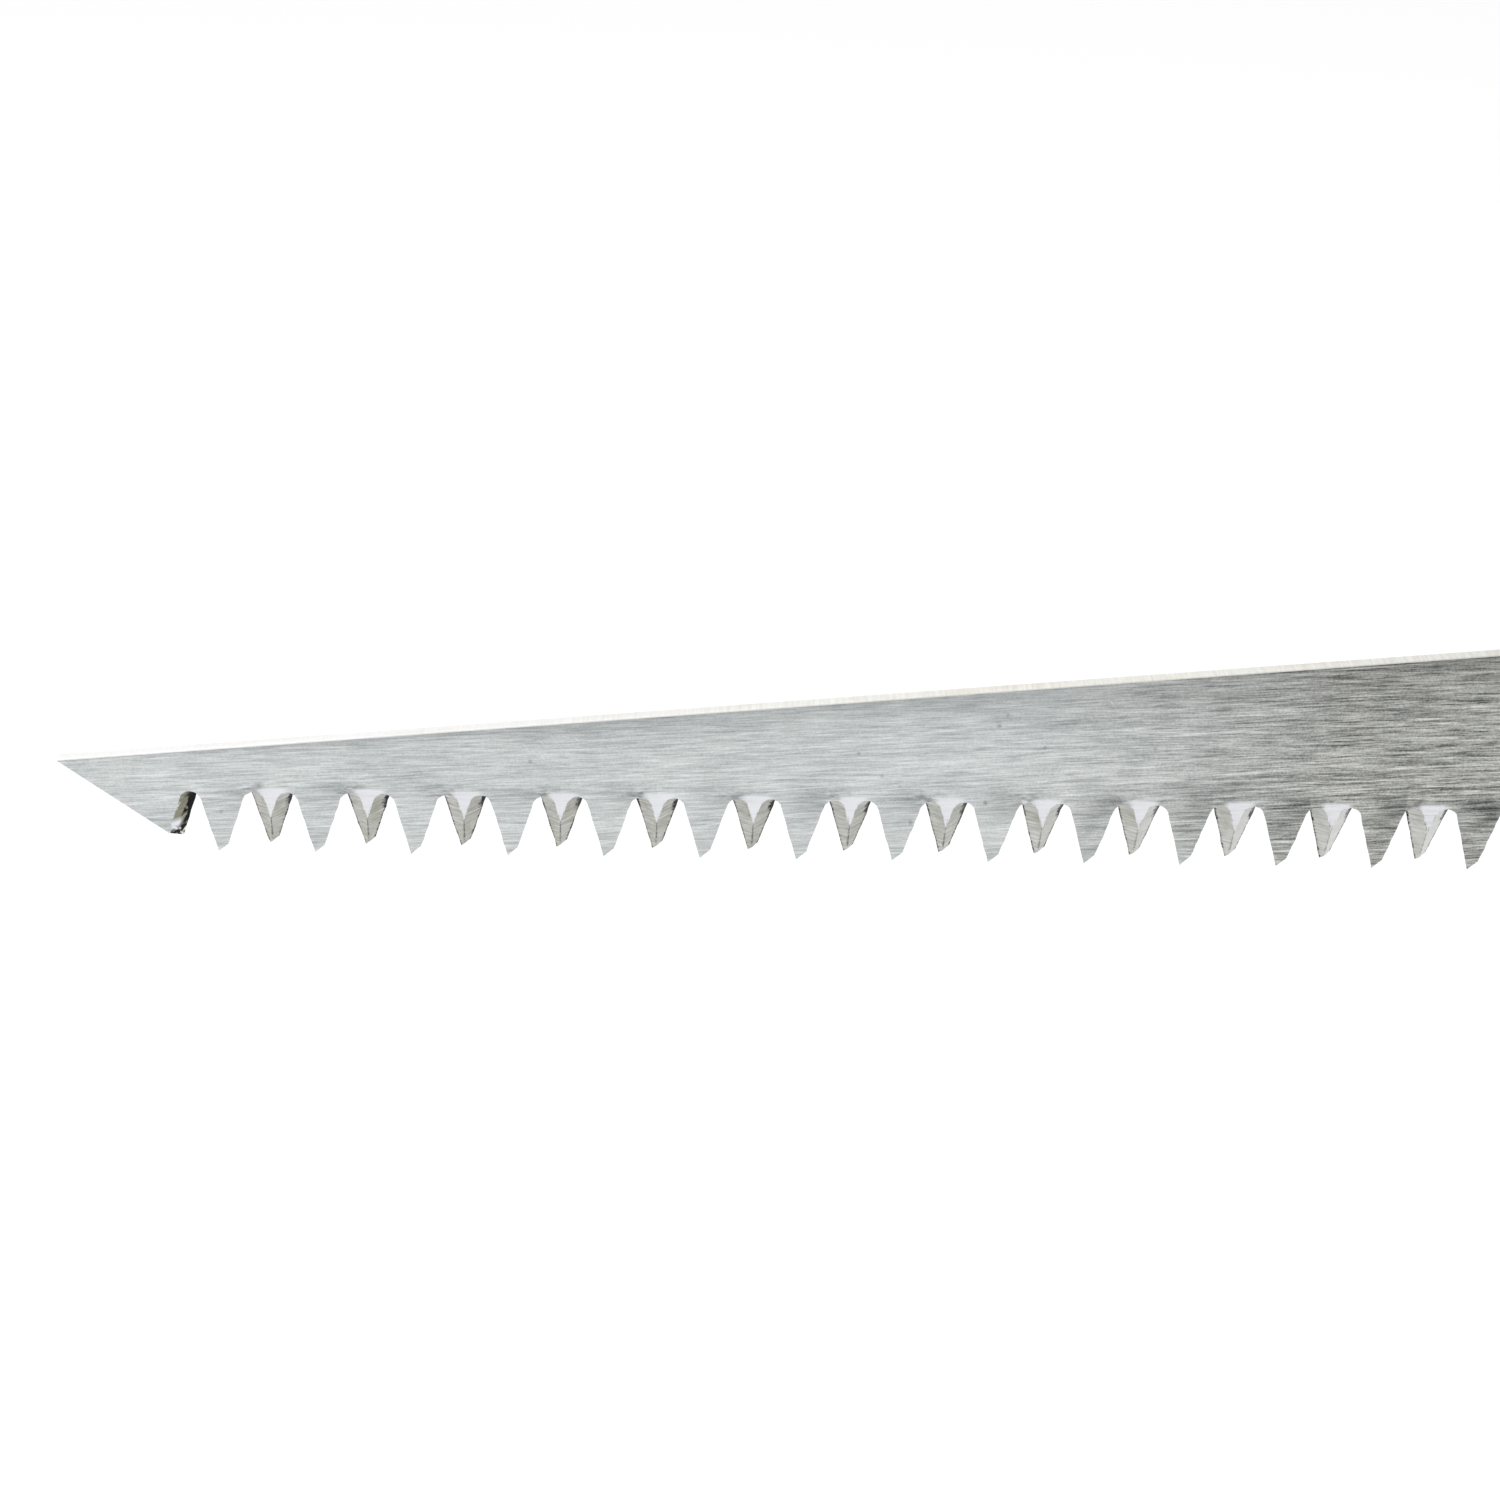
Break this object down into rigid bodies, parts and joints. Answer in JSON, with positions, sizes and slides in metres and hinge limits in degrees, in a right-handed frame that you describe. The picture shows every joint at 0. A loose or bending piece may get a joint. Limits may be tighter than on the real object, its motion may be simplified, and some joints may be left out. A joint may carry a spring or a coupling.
{
  "type": "compass saw",
  "caption": "Compass saw: a long tapered blade with alternately set, bevelled teeth, clamped in the kerf of a wooden pistol-grip handle by a coach bolt and a wing nut.",
  "frame": {"origin": "centre of the hanging hole, in the middle of the handle's thickness", "axes": "+X along the tooth line from the toe towards the handle; +Z from the teeth towards the spine; -Y is the side with the wing nut"},
  "size_m": [0.4481, 0.0421, 0.1423],
  "materials": {
    "blade_steel": "finely brushed along the blade, teeth ground bright",
    "handle_wood": "oiled beech, satin",
    "fastener_steel": "zinc-plated, satin",
    "pin_steel": "ground",
    "brass": "satin, lightly worn"
  },
  "bodies": {
    "handle_assembly": {"handle": "handle_wood", "clamp_bolt": "fastener_steel", "near_cheek_plate": "brass", "far_cheek_plate": "brass", "near_plate_screws": "brass", "far_plate_screws": "brass", "guide_pin": "pin_steel", "hanging_eyelet": "brass"},
    "blade": {"blade": "blade_steel"},
    "washer": {"clamp_washer": "fastener_steel"},
    "wing_nut": {"wing_nut": "fastener_steel"}
  },
  "joints": [
    {"name": "blade_slide", "type": "slide", "parent": "handle_assembly", "child": "blade", "axis": [-1, 0, 0], "range_m": [0, 0.075]},
    {"name": "washer_back_off", "type": "slide", "parent": "handle_assembly", "child": "washer", "axis": [0, -1, 0], "range_m": [0, 0.002]},
    {"name": "wing_nut_turn", "type": "hinge", "parent": "washer", "child": "wing_nut", "pos_m": [-0.095, 0, 0.08033], "axis": [0, -1, 0], "range_deg": [0, 720]}
  ],
  "couplings": [
    {"joint": "washer_back_off", "follows": "wing_nut_turn", "m_per_rad": 0.00015915}
  ]
}
